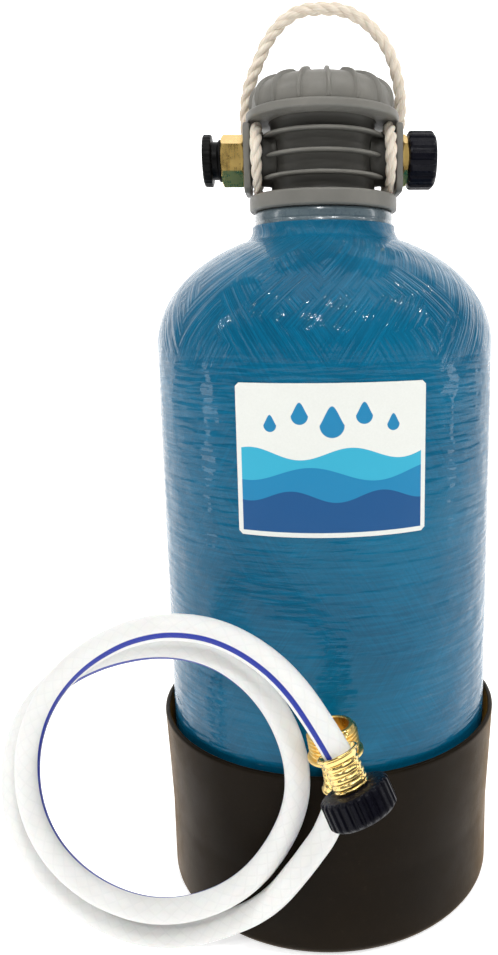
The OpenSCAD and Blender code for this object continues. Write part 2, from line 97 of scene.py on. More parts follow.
def coil_line(a):
    """A point of the hose's centreline, a degrees of turn after its nut end."""
    turn, r, f = math.radians(COIL_START + a), bow(COIL_RADIUS, a / 45), bow(COIL_FRONT, a / 45)
    x, y, z = r * math.cos(turn), -f, r * math.sin(turn)
    c, s = math.cos(COIL_LEAN), math.sin(COIL_LEAN)
    y, z = y * c + z * s, z * c - y * s
    c, s = math.cos(COIL_TURN), math.sin(COIL_TURN)
    x, y = x * c - y * s, x * s + y * c
    return np.array([COIL_CENTRE[0] + x, COIL_CENTRE[1] + y, COIL_CENTRE[2] + z])


def unit(v):
    v = np.asarray(v, float)
    return v / np.linalg.norm(v, axis=-1, keepdims=True)


def smooth(points, step):
    """Resamples a line through points at an even step, in the points' own units."""
    p = np.array(points, float)
    t = np.linspace(0, len(p) - 1, 40 * len(p))
    fine = np.array([[bow(p[:, k], s) for k in range(3)] for s in t])
    along = along_line(fine)
    even = np.linspace(0, along[-1], max(2, int(round(along[-1] / step)) + 1))
    return np.stack([np.interp(even, along, fine[:, k]) for k in range(3)], 1)


def along_line(line):
    """How far each point of a line is from its start."""
    return np.r_[0, np.cumsum(np.linalg.norm(np.diff(line, axis=0), axis=1))]


def frames(line, start=(0.1, 0.2, 1)):
    """Directions along a line, and two directions across it that don't twist."""
    t = unit(np.gradient(line, axis=0))
    s = unit(np.cross(t[0], start))
    side = []
    for d in t:
        s = unit(s - np.dot(s, d) * d)
        side.append(s)
    side = np.array(side)
    return t, side, np.cross(t, side)


# ---- meshes -------------------------------------------------------------


def make(name, verts, faces, body, stuff, uv=None, replaces=(), sharp=38, moved=None):
    """A mesh piece from points in millimetres, on its body, with its material."""
    me = bpy.data.meshes.new(name)
    v = np.asarray(verts, float)
    if moved is not None:
        v = v @ np.array(moved[0]).T + np.array(moved[1])
    me.from_pydata((v * MM).tolist(), [], [tuple(int(i) for i in f) for f in faces])
    me.validate()
    if uv is not None:
        index = np.zeros(len(me.loops), int)
        start, total = np.zeros(len(me.polygons), int), np.zeros(len(me.polygons), int)
        me.loops.foreach_get("vertex_index", index)
        me.polygons.foreach_get("loop_start", start)
        me.polygons.foreach_get("loop_total", total)
        place = np.asarray(uv, float)[index]
        quads = start[total == 4][:, None] + np.arange(4)
        v = place[quads, 1]
        v[(v.max(1, keepdims=True) - v) > 0.5] += 1  # faces that close the ring
        place[quads, 1] = v
        me.uv_layers.new(name="surface").data.foreach_set("uv", place.ravel())
    me.shade_smooth()
    if sharp:
        me.set_sharp_from_angle(angle=math.radians(sharp))
    ob = bpy.data.objects.new(name, me)
    bpy.context.scene.collection.objects.link(ob)
    me.materials.append(stuff)
    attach(ob, body)
    if replaces:
        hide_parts(*replaces)
    return ob


def grid_faces(rows, cols, wrap_rows=False, wrap_cols=True):
    """Quads of a grid of points that is stored row by row."""
    r = np.arange(rows if wrap_rows else rows - 1)
    c = np.arange(cols if wrap_cols else cols - 1)
    i, j = np.meshgrid(r, c, indexing="ij")
    i2, j2 = (i + 1) % rows, (j + 1) % cols
    quads = np.stack([i * cols + j, i * cols + j2, i2 * cols + j2, i2 * cols + j], -1)
    return quads.reshape(-1, 4).tolist()


def end_caps(rows, cols):
    """The two flat ends of a grid of points that is closed round its columns."""
    return [list(range(cols))[::-1], [(rows - 1) * cols + k for k in range(cols)]]


def lathe(profile, cols, radius=None, closed=True):
    """Points and faces of a profile [(r, z)] turned about Z; radius(angles, row, r, z) shapes each row."""
    a = np.arange(cols) * TAU / cols
    rows = []
    for k, (r, z) in enumerate(profile):
        rr = np.full(cols, float(r)) if radius is None else radius(a, k, float(r), float(z))
        rows.append(np.stack([rr * np.cos(a), rr * np.sin(a), np.full(cols, float(z))], 1))
    verts = np.concatenate(rows)
    faces = grid_faces(len(profile), cols, wrap_rows=closed)
    if not closed:
        faces += end_caps(len(profile), cols)
    return verts, faces


def arc(cx, cz, rx, rz, a0, a1, n=8):
    """Points of an ellipse's arc round (cx, cz), from a0 to a1 degrees."""
    return [(cx + rx * math.cos(math.radians(a0 + (a1 - a0) * i / n)),
             cz + rz * math.sin(math.radians(a0 + (a1 - a0) * i / n))) for i in range(n + 1)]


def rounded(points, radii, n=4):
    """A closed outline [(r, z)] with each corner rounded by its radius."""
    out, m = [], len(points)
    for k in range(m):
        p = np.array(points[k], float)
        r = radii[k] if isinstance(radii, (list, tuple)) else radii
        a, b = np.array(points[k - 1], float) - p, np.array(points[(k + 1) % m], float) - p
        la, lb = np.linalg.norm(a), np.linalg.norm(b)
        if r <= 0 or la < 1e-6 or lb < 1e-6:
            out.append(tuple(p))
            continue
        r = min(r, 0.48 * la, 0.48 * lb)
        p0, p1 = p + a / la * r, p + b / lb * r
        for i in range(n + 1):
            t = i / n
            out.append(tuple((1 - t) ** 2 * p0 + 2 * t * (1 - t) * p + t * t * p1))
    return out


def tube_mesh(line, radius, sides, twist=None):
    """Points and faces of a tube along a line; radius is a number or radius(i, angles)."""
    t, s, u = frames(line)
    a = np.arange(sides) * TAU / sides
    rows = []
    for i, p in enumerate(line):
        b = a + (twist[i] if twist is not None else 0)
        r = radius(i, a) if callable(radius) else radius
        rows.append(p + (r * np.cos(b))[:, None] * s[i] + (r * np.sin(b))[:, None] * u[i])
    verts = np.concatenate(rows)
    return verts, grid_faces(len(line), sides) + end_caps(len(line), sides)


def pointing(place, way):
    """Rotation and shift that put a shape drawn along +Z at a place, pointing a given way."""
    spin = Matrix.Rotation(math.atan2(way[1], way[0]), 3, "Z")
    tilt = Matrix.Rotation(math.acos(max(-1, min(1, way[2]))), 3, "Y")
    return np.array(spin @ tilt), np.array(place, float)


def sideways(x, flip=False):
    """As pointing(), for a shape drawn along +Z that stands on a port's axis."""
    turn = Matrix.Rotation(math.radians(-90 if flip else 90), 3, "Y")
    return np.array(turn), np.array([x, 0, PORT_Z])


def joined(*parts):
    """Several shapes as one list of points and one of faces."""
    verts, faces, n = [], [], 0
    for v, f in parts:
        verts.append(np.asarray(v, float))
        faces += [[i + n for i in face] for face in f]
        n += len(v)
    return np.concatenate(verts), faces


# ---- materials ----------------------------------------------------------


class Field:
    """A number over a surface, made of shader nodes."""

    def __init__(self, surface, socket):
        self.surface, self.socket = surface, socket

    def __add__(self, o):
        return self.surface.math("ADD", self, o)

    def __sub__(self, o):
        return self.surface.math("SUBTRACT", self, o)

    def __rsub__(self, o):
        return self.surface.math("SUBTRACT", o, self)

    def __mul__(self, o):
        return self.surface.math("MULTIPLY", self, o)

    def __truediv__(self, o):
        return self.surface.math("DIVIDE", self, o)

    __radd__, __rmul__ = __add__, __mul__

    def abs(self):
        return self.surface.math("ABSOLUTE", self)

    def step(self, low, high):
        """0 below low and 1 above high, smoothly."""
        return self.surface.ranged(self, low, high)


class Surface:
    """A material with one Principled shader; constants are set on its own sockets."""

    def __init__(self, name, colour, roughness=0.5, **more):
        self.material = bpy.data.materials.new(name)
        self.material.use_nodes = True
        self.tree = self.material.node_tree
        self.shader = next(n for n in self.tree.nodes if n.type == "BSDF_PRINCIPLED")
        self.shader.inputs["Base Color"].default_value = (*colour, 1)
        self.shader.inputs["Roughness"].default_value = roughness
        for key, value in more.items():
            socket = self.shader.inputs[key.replace("_", " ").title().replace("Ior", "IOR")]
            socket.default_value = (*value, 1) if isinstance(value, tuple) else value
        self.material.diffuse_color = (*colour, 1)

    def put(self, socket, value):
        if isinstance(value, Field):
            value = value.socket
        if isinstance(value, bpy.types.NodeSocket):
            self.tree.links.new(value, socket)
        elif isinstance(value, tuple) and len(socket.default_value) == 4:
            socket.default_value = (*value, 1)
        else:
            socket.default_value = value

    def node(self, kind, out=0, settings=(), **inputs):
        n = self.tree.nodes.new("ShaderNode" + kind)
        for key, value in dict(settings).items():
            setattr(n, key, value)
        for key, value in inputs.items():
            self.put(n.inputs[int(key[1:])] if key[0] == "i" and key[1:].isdigit() else n.inputs[key], value)
        return Field(self, n.outputs[out])

    def math(self, op, a, b=None):
        inputs = {"i0": a} if b is None else {"i0": a, "i1": b}
        return self.node("Math", settings={"operation": op}, **inputs)

    def ranged(self, value, low, high, to_low=0.0, to_high=1.0):
        return self.node("MapRange", settings={"interpolation_type": "SMOOTHSTEP"}, i0=value, i1=low, i2=high,
                         i3=to_low, i4=to_high)

    def place(self):
        """Place on the object in the row frame, in metres."""
        return self.node("TexCoord", out="Object")

    def split(self, vector):
        n = self.tree.nodes.new("ShaderNodeSeparateXYZ")
        self.put(n.inputs[0], vector)
        return [Field(self, o) for o in n.outputs]

    def vector(self, x, y, z):
        return self.node("CombineXYZ", i0=x, i1=y, i2=z)

    def noise(self, where, scale=1.0, detail=2.0, roughness=0.5, distortion=0.0):
        return self.node("TexNoise", Vector=where, Scale=scale, Detail=detail, Roughness=roughness,
                         Distortion=distortion)

    def spots(self, where, scale=1.0, feature="F1"):
        return self.node("TexVoronoi", settings={"feature": feature}, Vector=where, Scale=scale)

    def blend(self, factor, a, b):
        """A mix of two colours."""
        n = self.tree.nodes.new("ShaderNodeMix")
        n.data_type = "RGBA"
        self.put(n.inputs[0], factor)
        self.put(n.inputs[6], a)
        self.put(n.inputs[7], b)
        return Field(self, n.outputs[2])

    def mix(self, factor, a, b):
        """A mix of two numbers."""
        n = self.tree.nodes.new("ShaderNodeMix")
        self.put(n.inputs[0], factor)
        self.put(n.inputs[2], a)
        self.put(n.inputs[3], b)
        return Field(self, n.outputs[0])

    def bump(self, height, distance, strength=1.0, under=None):
        more = {"Normal": under} if under is not None else {}
        return self.node("Bump", Height=height, Distance=distance, Strength=strength, **more)

    def use(self, **links):
        for key, value in links.items():
            self.put(self.shader.inputs[key.replace("_", " ").title()], value)
        return self.material


def plastic(name, colour, deep, roughness=0.5, grain=1400.0, depth=0.00006, **more):
    """Moulded plastic: fine grain, faint clouding, and a slightly uneven gloss."""
    s = Surface(name, colour, roughness, **more)
    p = s.place()
    cloud = s.noise(p, 38.0, 4.0, 0.6)
    fine = s.noise(p, grain, 3.0, 0.6)
    wear = s.noise(p, 210.0, 5.0, 0.7)
    return s.use(
        base_color=s.blend(s.ranged(cloud, 0.3, 0.75), deep, colour),
        roughness=s.ranged(wear, 0.3, 0.75, roughness - 0.07, roughness + 0.09),
        normal=s.bump(fine + cloud * 0.6, depth))


def waist_plastic():
    """The grey plastic, painted darker between the fins and behind the pads to stand for the shade there."""
    s = Surface("waist_moulding", (0.2, 0.192, 0.17), 0.46, specular_ior_level=0.2)
    p = s.place()
    x, y, z = s.split(p)
    rise = z - PORT_Z * MM
    # painted shade: the colour is darkened inside the fins' rims and round the port tubes, short of the pads
    fin = s.math("SQRT", x * x + y * y + 1e-7).step(0.0325, 0.0368)
    tube = s.math("SQRT", y * y + rise * rise + 1e-7).step(0.0152, 0.0178)
    pad = x.abs().step(0.0426, 0.0435)
    unshaded = fin * s.math("MAXIMUM", tube, pad)
    cloud = s.noise(p, 38.0, 4.0, 0.6)
    fine = s.noise(p, 1500.0, 3.0, 0.6)
    colour = s.blend(s.ranged(cloud, 0.3, 0.75), (0.15, 0.146, 0.13), (0.19, 0.182, 0.162))
    return s.use(base_color=s.blend(unshaded, (0.052, 0.05, 0.044), colour),
                 roughness=s.ranged(cloud, 0.3, 0.75, 0.4, 0.54), normal=s.bump(fine + cloud * 0.6, 0.00005))


def wound_resin():
    """Blue resin over wound glass: hoops on the wall, crossing strands on the dome, and a lumpy gloss."""
    s = Surface("wound_resin", (0.0, 0.105, 0.22), 0.4, coat_weight=0.75, coat_roughness=0.06, coat_ior=1.3,
                specular_ior_level=0.05)
    p = s.place()
    x, y, z = s.split(p)
    r = s.math("SQRT", x * x + y * y + 1e-6)
    ring = s.vector(x / r, y / r, 0.0)
    rise = z - HIGH_Z * MM
    curl = s.math("MAXIMUM", rise, 0.0)
    lean = rise * 6.0 + curl * curl * 70.0
    dome = s.ranged(z, 0.338, 0.356)
    strands, cloth, broad = [], [], []
    for way in (1, -1):
        turned = s.node("VectorRotate", settings={"rotation_type": "Z_AXIS"}, Vector=ring, Angle=lean * way)
        tx, ty, _ = s.split(turned)
        strands.append(s.noise(s.vector(tx * 82.0, ty * 82.0, z * 26.0), 1.0, 3.0, 0.55))
        cloth.append(s.noise(s.vector(tx * 13.0, ty * 13.0, z * 9.0), 1.0, 2.0, 0.5))
        broad.append(s.noise(s.vector(tx * 42.0, ty * 42.0, z * 11.0), 1.0, 1.0, 0.4))
    rx, ry, _ = s.split(ring)
    hoops = s.noise(s.vector(rx * 3.5, ry * 3.5, z * 640.0), 1.0, 3.0, 0.6)
    bands = s.noise(s.vector(rx * 1.6, ry * 1.6, z * 95.0), 1.0, 2.0, 0.5)
    patch = s.ranged(s.noise(p, 24.0, 2.0), 0.47, 0.53)
    crossing = s.mix(patch, strands[0], strands[1])
    lumps = s.noise(p, 95.0, 3.0, 0.55)
    drops = s.noise(p, 62.0, 1.0, 0.4)
    rings = s.noise(s.vector(rx * 5.0, ry * 5.0, z * 330.0), 1.0, 1.0, 0.4)
    runs = s.noise(s.vector(rx * 26.0, ry * 26.0, z * 22.0), 1.0, 3.0, 0.6)
    wall = hoops * 0.55 + bands * 0.9 + crossing * 0.2
    head = crossing + s.mix(patch, cloth[0], cloth[1]) * 1.6
    height = s.mix(dome, wall, head) + lumps * 1.3 + runs * 0.5
    gloss = s.mix(dome, rings * 0.9 + drops * 1.4, s.mix(patch, broad[0], broad[1]) * 1.3 + drops * 1.6)
    glass = s.ranged(s.mix(dome, hoops * 0.6 + crossing * 0.4, crossing), 0.35, 0.75)
    pale = s.ranged(s.noise(p, 13.0, 3.0, 0.6), 0.35, 0.75)
    colour = s.blend(glass, (0.0, 0.075, 0.15), (0.0, 0.125, 0.24))
    colour = s.blend(pale * 0.45, colour, (0.004, 0.155, 0.28))
    return s.use(base_color=colour, roughness=s.ranged(lumps, 0.3, 0.7, 0.32, 0.5),
                 normal=s.bump(height, 0.00045, 0.8), coat_normal=s.bump(gloss, 0.0009, 0.9))


def boot_rubber():
    """Black-brown rubber with a faint bloom, clouding and dust, and paler towards the bottom."""
    s = Surface("boot_rubber", (0.012, 0.009, 0.006), 0.42, sheen_weight=0.26, sheen_roughness=0.3,
                sheen_tint=(0.8, 0.42, 0.07), specular_ior_level=0.05)
    p = s.place()
    fine = s.noise(p, 1100.0, 3.0, 0.6)
    cloud = s.noise(p, 30.0, 4.0, 0.6)
    dust = s.ranged(s.noise(p, 170.0, 6.0, 0.75), 0.55, 0.85)
    x, y, z = s.split(p)
    # paler towards the bottom, within 30 mm of the floor
    low = s.ranged(z, 0.03, 0.0)
    rubber = s.blend(cloud, (0.005, 0.0035, 0.002), (0.012, 0.008, 0.004))
    return s.use(
        base_color=s.blend(dust * 0.3 + low * 0.15, rubber, (0.035, 0.025, 0.015)),
        roughness=s.ranged(cloud, 0.3, 0.7, 0.34, 0.5),
        normal=s.bump(fine * 0.6 + cloud * 1.5, 0.00012))


def brass(name, colour, deep, roughness=0.24, lines=None):
    """Turned brass. lines is the axis, 0, 1 or 2, that the tool marks run round."""
    s = Surface(name, colour, roughness, metallic=1.0)
    p = s.place()
    axes = s.split(p)
    if lines is None:
        marks = s.noise(p, 900.0, 3.0, 0.6)
    else:
        stretch = [v * (2600.0 if k == lines else 60.0) for k, v in enumerate(axes)]
        marks = s.noise(s.vector(*stretch), 1.0, 2.0, 0.5)
    cloud = s.noise(p, 120.0, 4.0, 0.6)
    stain = s.ranged(s.noise(p, 320.0, 5.0, 0.7), 0.58, 0.8)
    return s.use(
        base_color=s.blend(stain * 0.35, s.blend(cloud, deep, colour), (0.33, 0.19, 0.06)),
        roughness=s.ranged(cloud + marks * 0.5, 0.4, 1.1, roughness - 0.06, roughness + 0.14),
        normal=s.bump(marks + cloud * 0.5, 0.00005))


def rope_fibre():
    """Pale rope: u counts turns of its lay and v goes round it, so fibres follow the strands."""
    s = Surface("rope_fibre", (0.74, 0.66, 0.53), 0.85, sheen_weight=0.35, sheen_roughness=0.5,
                sheen_tint=(1.0, 0.95, 0.86), subsurface_weight=0.08, subsurface_scale=0.003)
    u, v, _ = s.split(s.node("TexCoord", out="UV"))
    turn = (v + u) * TAU
    cx, cy = s.math("COSINE", turn), s.math("SINE", turn)
    yarn = s.noise(s.vector(cx * 2.2, cy * 2.2, u * 1.4), 1.0, 2.0, 0.5)
    fibre = s.noise(s.vector(cx * 11.0, cy * 11.0, u * 3.0), 1.0, 4.0, 0.65)
    p = s.place()
    fuzz = s.noise(p, 2300.0, 3.0, 0.7)
    soil = s.ranged(s.noise(p, 70.0, 4.0, 0.6), 0.42, 0.78)
    colour = s.blend(s.ranged(fibre, 0.3, 0.7), (0.66, 0.55, 0.42), (0.9, 0.84, 0.73))
    return s.use(base_color=s.blend(soil * 0.35, colour, (0.66, 0.55, 0.44)),
                 normal=s.bump(yarn * 0.8 + fibre * 0.8 + fuzz * 0.35, 0.00032))


def hose_vinyl():
    """White hose: u is metres along it, and v is 0.5 on its blue line."""
    s = Surface("hose_vinyl", (0.8, 0.8, 0.78), 0.4, specular_ior_level=0.35,
                subsurface_weight=0.12, subsurface_scale=0.004)
    u, v, _ = s.split(s.node("TexCoord", out="UV"))
    half = LINE_HALF / (TAU * HOSE_R)
    off = (v - 0.5).abs()
    line = 1.0 - off.step(half * 0.86, half * 1.12)
    turn = v * TAU
    weave = []
    for way in (1, -1):
        weave.append(s.math("SINE", turn * 6.0 + u * (way * 640.0)))
    braid = s.math("MAXIMUM", weave[0], weave[1]).step(0.82, 1.0)
    p = s.place()
    fine = s.noise(p, 1500.0, 3.0, 0.6)
    cloud = s.noise(p, 55.0, 4.0, 0.6)
    white = s.blend(cloud, (0.74, 0.74, 0.715), (0.82, 0.82, 0.80))
    white = s.blend(braid * 0.10, white, (0.55, 0.57, 0.57))
    return s.use(base_color=s.blend(line, white, (0.0, 0.018, 0.3)),
                 roughness=s.ranged(fine, 0.3, 0.7, 0.3, 0.44),
                 normal=s.bump(fine * 0.35 + braid * 0.5 + cloud * 0.6 + line * 0.25, 0.00012))


def label_film():
    """The printed film: water in three tones along its foot and five drops above it, with nothing to read."""
    s = Surface("label_film", (0.86, 0.87, 0.85), 0.4, specular_ior_level=0.3)
    p = s.place()
    x, y, z = s.split(p)
    a = s.math("ARCTAN2", x, y * -1.0) * (TANK_R + 0.3)
    h = z * 1000.0 - (LABEL_LOW + LABEL_HIGH) / 2

    def drop(ca, ch, size):
        """A falling drop: round below, drawn to a point above."""
        taper = (h - ch) / size
        across = (a - ca) / size * (s.math("MAXIMUM", taper, 0.0) * 0.62 + 1.0)
        stretch = s.mix(taper.step(-0.05, 0.05), 1.0, 0.42)
        return (across * across + taper * taper * stretch).step(1.05, 0.9)

    ink = s.noise(p, 900.0, 2.0)
    colour = s.blend(ink, (0.70, 0.715, 0.67), (0.76, 0.77, 0.73))
    inside = a.abs().step(50.1, 49.9) * h.abs().step(38.5, 38.3)
    waters = ((4.0, 3.2, 0.115, 0.4, (0.03, 0.38, 0.55)), (-7.0, 3.8, 0.09, 2.6, (0.004, 0.2, 0.4)),
              (-19.0, 3.0, 0.13, 4.4, (0.0, 0.07, 0.22)))
    for level, swing, pace, start, tone in waters:
        top = s.math("SINE", a * pace + start) * swing + level
        colour = s.blend((h - top).step(0.12, -0.12) * inside, colour, tone)
    drops = ((-33.0, 19.0, 3.6), (-17.0, 24.0, 4.6), (0.0, 19.0, 6.6), (17.0, 24.0, 4.6), (33.0, 19.0, 3.6))
    for ca, ch, size in drops:
        colour = s.blend(drop(ca, ch, size), colour, (0.008, 0.2, 0.4))
    return s.use(base_color=colour, normal=s.bump(ink + s.noise(p, 60.0, 3.0) * 4.0, 0.00004))


def beads():
    """Round amber beads, packed, with painted shade darkening from each bead's middle out to the gaps between
    beads.
    """
    s = Surface("resin_beads", (0.5, 0.25, 0.07), 0.3, coat_weight=0.4)
    p = s.place()
    cell = s.spots(p, 1300.0)
    # painted shade: darker towards each bead's rim and in the gaps between beads
    return s.use(base_color=s.blend(cell, (0.62, 0.33, 0.10), (0.22, 0.09, 0.02)),
                 normal=s.bump(1.0 - cell, 0.0004))


def wire_gauze():
    """Woven steel wire across the inlet."""
    s = Surface("steel_gauze", (0.6, 0.6, 0.6), 0.3, metallic=1.0)
    x, y, z = s.split(s.place())
    weave = s.math("SINE", y * 9000.0) * s.math("SINE", z * 9000.0)
    return s.use(base_color=s.blend(weave.step(-0.4, 0.4), (0.12, 0.12, 0.12), (0.66, 0.66, 0.64)),
                 normal=s.bump(weave, 0.0002))


MAT = {
    "boot_rubber": boot_rubber(),
    "wound_resin": wound_resin(),
    "grey": plastic("grey_moulding", (0.2, 0.192, 0.17), (0.16, 0.155, 0.138), 0.44, 1500.0, 0.00005,
                    specular_ior_level=0.3),
    "waist": waist_plastic(),
    "collar": plastic("collar_moulding", (0.12, 0.16, 0.175), (0.085, 0.12, 0.14), 0.3, coat_weight=0.8,
                      coat_roughness=0.12),
    "white": plastic("white_moulding", (0.8, 0.8, 0.77), (0.72, 0.72, 0.68), 0.5),
    "beads": beads(),
    "label": label_film(),
    "rubber": plastic("black_rubber", (0.025, 0.025, 0.025), (0.015, 0.015, 0.015), 0.6),
    "brass": brass("machined_brass", (0.86, 0.62, 0.22), (0.77, 0.51, 0.15), 0.27, lines=0),
    "bright_brass": brass("bright_brass", (0.9, 0.69, 0.28), (0.82, 0.58, 0.2), 0.16),
    "black": plastic("black_moulding", (0.006, 0.006, 0.01), (0.003, 0.003, 0.006), 0.3,
                     specular_ior_level=0.09),
    "vinyl": plastic("plug_vinyl", (0.005, 0.005, 0.005), (0.003, 0.003, 0.003), 0.4,
                     specular_ior_level=0.08),
    "gauze": wire_gauze(),
    "rope": rope_fibre(),
    "hose": hose_vinyl(),
}

# nodes of the CAD model that stay as they are, inside or nearly hidden
BARE = {
    "tank_liner": "white", "riser_tube": "white", "lower_basket": "white", "upper_basket": "white",
    "resin_bed": "beads", "head_o_ring": "rubber", "riser_o_ring": "rubber", "inlet_washer": "rubber",
    "inlet_screen": "gauze", "hose_nut_stem": "brass", "hose_washer": "rubber",
}
for node, stuff in BARE.items():
    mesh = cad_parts[node].data
    mesh.materials.clear()
    mesh.materials.append(MAT[stuff])

# ---- camera -------------------------------------------------------------

IMAGE_HEIGHT, FOCAL = 955, 814.15  # in pixels
SENSOR = 36  # millimetres, along the image's longer side
PLACE = (-0.01630, -0.52178, 0.36915)
YAW, PITCH, ROLL = math.radians(-2.20), math.radians(10.64), math.radians(-0.59)
ahead = Vector((-math.sin(YAW) * math.cos(PITCH), math.cos(YAW) * math.cos(PITCH), -math.sin(PITCH)))
level = Vector((math.cos(YAW), math.sin(YAW), 0))
upright = level.cross(ahead)
across = level * math.cos(ROLL) + upright * math.sin(ROLL)
upward = upright * math.cos(ROLL) - level * math.sin(ROLL)
camera = bpy.data.objects.new("camera", bpy.data.cameras.new("camera"))
facing = Matrix((across, upward, -ahead)).transposed()
camera.matrix_world = Matrix.Translation(PLACE) @ facing.to_4x4()
camera.data.lens = FOCAL / IMAGE_HEIGHT * SENSOR
camera.data.shift_x = -0.0870
camera.data.shift_y = -0.0108
camera.data.clip_start = 0.02
bpy.context.scene.collection.objects.link(camera)
bpy.context.scene.camera = camera

# ---- hose ---------------------------------------------------------------

# degrees from the coil's front towards its middle that the blue line lies, at each eighth of a turn
STRIPE = [20, 10, 20, 60, 100, 120, 120, 100, 70, 50, 60, 100, 140, 155, 150, 120, 90]
nut_end, free_end = coil_line(0), coil_line(COIL_SWEEP)
nut_way = unit(nut_end - coil_line(5))
free_way = unit(free_end - coil_line(COIL_SWEEP - 5))
route = ([nut_end - 0.7 * nut_way, nut_end - 17 * nut_way]
         + [coil_line(COIL_SWEEP * i / 60) for i in range(2, 59)]
         + [free_end - 17 * free_way, free_end - 0.7 * free_way])
hose_path = smooth(route, 1.8)
hose_t, hose_s, hose_u = frames(hose_path)
coil_mid = np.array(COIL_CENTRE, float)
coil_face = np.array([math.sin(COIL_TURN), -math.cos(COIL_TURN), 0])
stripe = []
for i, p in enumerate(hose_path):
    share = i / (len(hose_path) - 1)
    front = unit(coil_face - np.dot(coil_face, hose_t[i]) * hose_t[i])
    inner = np.cross(hose_t[i], front)
    inner *= np.sign(np.dot(inner, coil_mid - p))
    swing = math.radians(bow(STRIPE, share * (len(STRIPE) - 1)))
    d = math.cos(swing) * front + math.sin(swing) * inner
    stripe.append(math.atan2(np.dot(d, hose_u[i]), np.dot(d, hose_s[i])) - math.pi)
stripe = np.unwrap(stripe)
HOSE_SIDES = 48
sides = np.arange(HOSE_SIDES) / HOSE_SIDES
verts, faces = tube_mesh(hose_path, HOSE_R, HOSE_SIDES, stripe)
metres = along_line(hose_path) * MM
uv = np.stack([np.repeat(metres, HOSE_SIDES), np.tile(sides, len(hose_path))], 1)
hose = make("hose", verts, faces, "hose", MAT["hose"], uv=uv, replaces=("hose_tube",),
            sharp=60)


def ring_wave(p, a, b):
    """0 outside a..b of a repeating 0..1 place and 1 inside, with sloping flanks."""
    d = np.minimum(np.abs(p - (a + b) / 2), 1 - np.abs(p - (a + b) / 2))
    return np.clip(((b - a) / 2 + 0.11 - d) / 0.22, 0, 1)


def ferrule(place, way, name, node):
    """A sleeve with a rolled bell at the hose side and pressed rings."""
    profile = [(7.1, -14), (8.1, -15), (8.9, -15.9), (9.4, -16.6)]
    profile += arc(9.85, -16.3, 0.72, 0.72, -120, 75, 10)
    profile += [(9.8, -15.2), (9.5, -14.4), (9.25, -13.6), (9.0, -13.1)]
    for i in range(4):
        z = -12.6 + 3.1 * i
        profile += [(8.25, z), (8.35, z + 0.25), (8.75, z + 0.65), (8.9, z + 1.1), (8.9, z + 1.9),
                    (8.75, z + 2.35), (8.35, z + 2.7), (8.25, z + 2.9)]
    profile += [(8.5, -0.15), (8.75, 0.15), (8.7, 0.7), (8.2, 1.15), (7.6, 1.2), (6.3, 1.2), (6.2, 0.3),
                (7.1, 0.2)]

    def pressed(a, row, r, z):
        grip = 1.0 if -13 < z < 0 and r > 8.3 else 0.25
        return r + grip * 0.11 * np.cos(8 * a) - (0.11 * grip if r > 7.2 else 0)
    v, f = lathe(profile, 128, pressed)
    return make(name, v, f, "hose", MAT["bright_brass"], replaces=(node,),
                moved=pointing(place, way), sharp=50)


def swivel_nut(name, node, body, outer, length, ribs, stem, seat, moved, sides):
    """A ribbed cup with a threaded mouth, drawn along +Z from its back face."""
    base, width, bore = outer - 1.15, 0.52, 13.65
    outside = [(base - 0.9, 0.0), (base - 0.25, 0.25), (base, 0.8), (base, 1.6), (base, 2.4)]
    outside += [(base, z) for z in np.arange(3.2, length - 2.6, 0.8)]
    outside += [(base, length - 2.4), (base, length - 1.7), (base - 0.25, length - 1.1),
                (base - 0.8, length - 0.5), (base - 1.1, length - 0.12), (base - 1.35, length)]
    mouth = [(14.5, length), (14.3, length - 0.15), (13.9, length - 0.7)]
    turns = [(bore, z) for z in np.arange(length - 0.95, seat + 0.3, -0.25)]
    inner = [(bore, seat), (13.9, seat - 0.1), (13.9, 3.0), (stem + 0.3, 3.0), (stem + 0.3, 0.5),
             (stem + 0.8, 0.0)]
    top = len(outside)

    def shape(a, row, r, z):
        if row < top:
            p = (a / TAU * ribs) % 1
            lift = np.clip((width / 2 + 0.09 - np.minimum(np.abs(p - 0.5), 1)) / 0.16, 0, 1)
            lift = lift * lift * (3 - 2 * lift)
            ends = min(1, max(0, (z - 0.15) / 1.4)) * min(1, max(0, (length - 0.7 - z) / 1.9))
            return r + 1.13 * lift * ends**0.6
        if abs(r - bore) < 0.01 and z > seat + 0.2:
            return r + 0.75 * ring_wave((z / HOSE_PITCH - a / TAU) % 1, 0.3, 0.7)
        return np.full(len(a), r)
    v, f = lathe(outside + mouth + turns + inner, sides, shape)
    return make(name, v, f, body, MAT["black"], replaces=(node,), moved=moved,
                sharp=42)


nut_ferrule = ferrule(nut_end, nut_way, "nut_ferrule", "hose_nut_ferrule")
end_ferrule = ferrule(free_end, free_way, "end_ferrule", "hose_end_ferrule")
swivel_nut("loose_nut", "hose_swivel_nut", "hose_nut", 17.5, 14.5, 26, 6.1, 8.0,
           pointing(nut_end + 1.6 * nut_way, nut_way), 520)

profile = [(3.8, 0.1), (6.1, 0.1), (6.1, 1.4), (13.6, 1.4), (14.4, 1.5), (14.85, 1.95), (14.85, 3.05),
           (14.4, 3.5), (13.6, 3.6), (12.6, 3.9), (12.35, 4.3)]
thread_from = len(profile)
profile += [(12.35, z) for z in np.arange(4.6, 16.2, 0.2)]
thread_to = len(profile)
profile += [(12.2, 16.5), (11.9, 17.2), (11.5, 17.6), (11.1, 17.8), (10.1, 17.8), (9.6, 17.3), (9.6, 5.0),
            (3.8, 2.0)]


def male(a, row, r, z):
    """The loose end's thread, running out at both ends."""
    if not thread_from <= row < thread_to:
        return np.full(len(a), r)
    fade = min(1, (z - 4.4) / 1.2) * min(1, max(0, (16.3 - z) / 1.2))
    return r + 1.1 * fade * ring_wave((z / HOSE_PITCH - a / TAU) % 1, 0.28, 0.72)


v, f = lathe(profile, 160, male)
coupling = make("loose_thread", v, f, "hose", MAT["brass"], replaces=("hose_end_coupling",),
                moved=pointing(free_end, free_way))

# ---- rope ---------------------------------------------------------------


